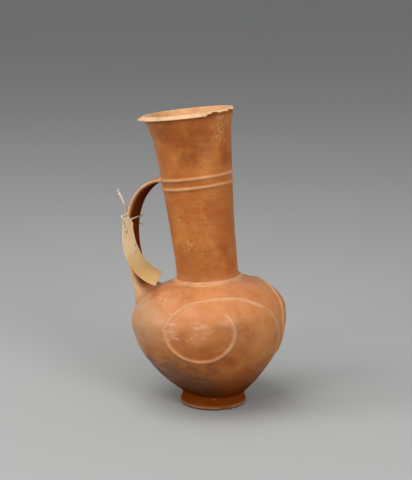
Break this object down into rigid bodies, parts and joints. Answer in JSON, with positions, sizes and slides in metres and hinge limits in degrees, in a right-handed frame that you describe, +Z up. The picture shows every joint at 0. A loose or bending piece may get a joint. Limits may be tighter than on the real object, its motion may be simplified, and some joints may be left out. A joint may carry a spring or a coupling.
{
  "type": "one-handled relief jug",
  "caption": "Hand-built terracotta jug with a leaning funnel neck, strap handle, ring foot and applied scroll relief; a curled paper tag swings on a string at the handle.",
  "frame": {"origin": "centre of the ring foot on the surface that the jug stands on", "axes": "+Z up, the handle towards -X, the front towards +X, one relief scroll on the -Y side and one on the +Y side"},
  "size_m": [0.1588, 0.143, 0.2703],
  "materials": {
    "terracotta": "low sheen, hand-wiped fired clay",
    "relief_clay": "low sheen, rubbed crests",
    "tag_card": "matt aged card",
    "string_cotton": "twisted cotton"
  },
  "bodies": {
    "vessel": {"foot_ring": "terracotta", "lower_body": "terracotta", "shoulder": "terracotta", "neck": "terracotta", "handle_strap": "terracotta", "handle_peg_patch": "terracotta", "neck_ridge_upper": "relief_clay", "neck_ridge_lower": "relief_clay", "neck_collar": "relief_clay", "relief_scroll_near": "relief_clay", "relief_scroll_far": "relief_clay", "tag_string": "string_cotton", "string_knot": "string_cotton", "string_tails": "string_cotton"},
    "tag": {"paper_tag": "tag_card"}
  },
  "joints": [
    {"name": "tag_swing", "type": "hinge", "parent": "vessel", "child": "tag", "pos_m": [-0.07725, -0.0215, 0.157], "axis": [-1, 0, 0], "range_deg": [0, 75]}
  ]
}
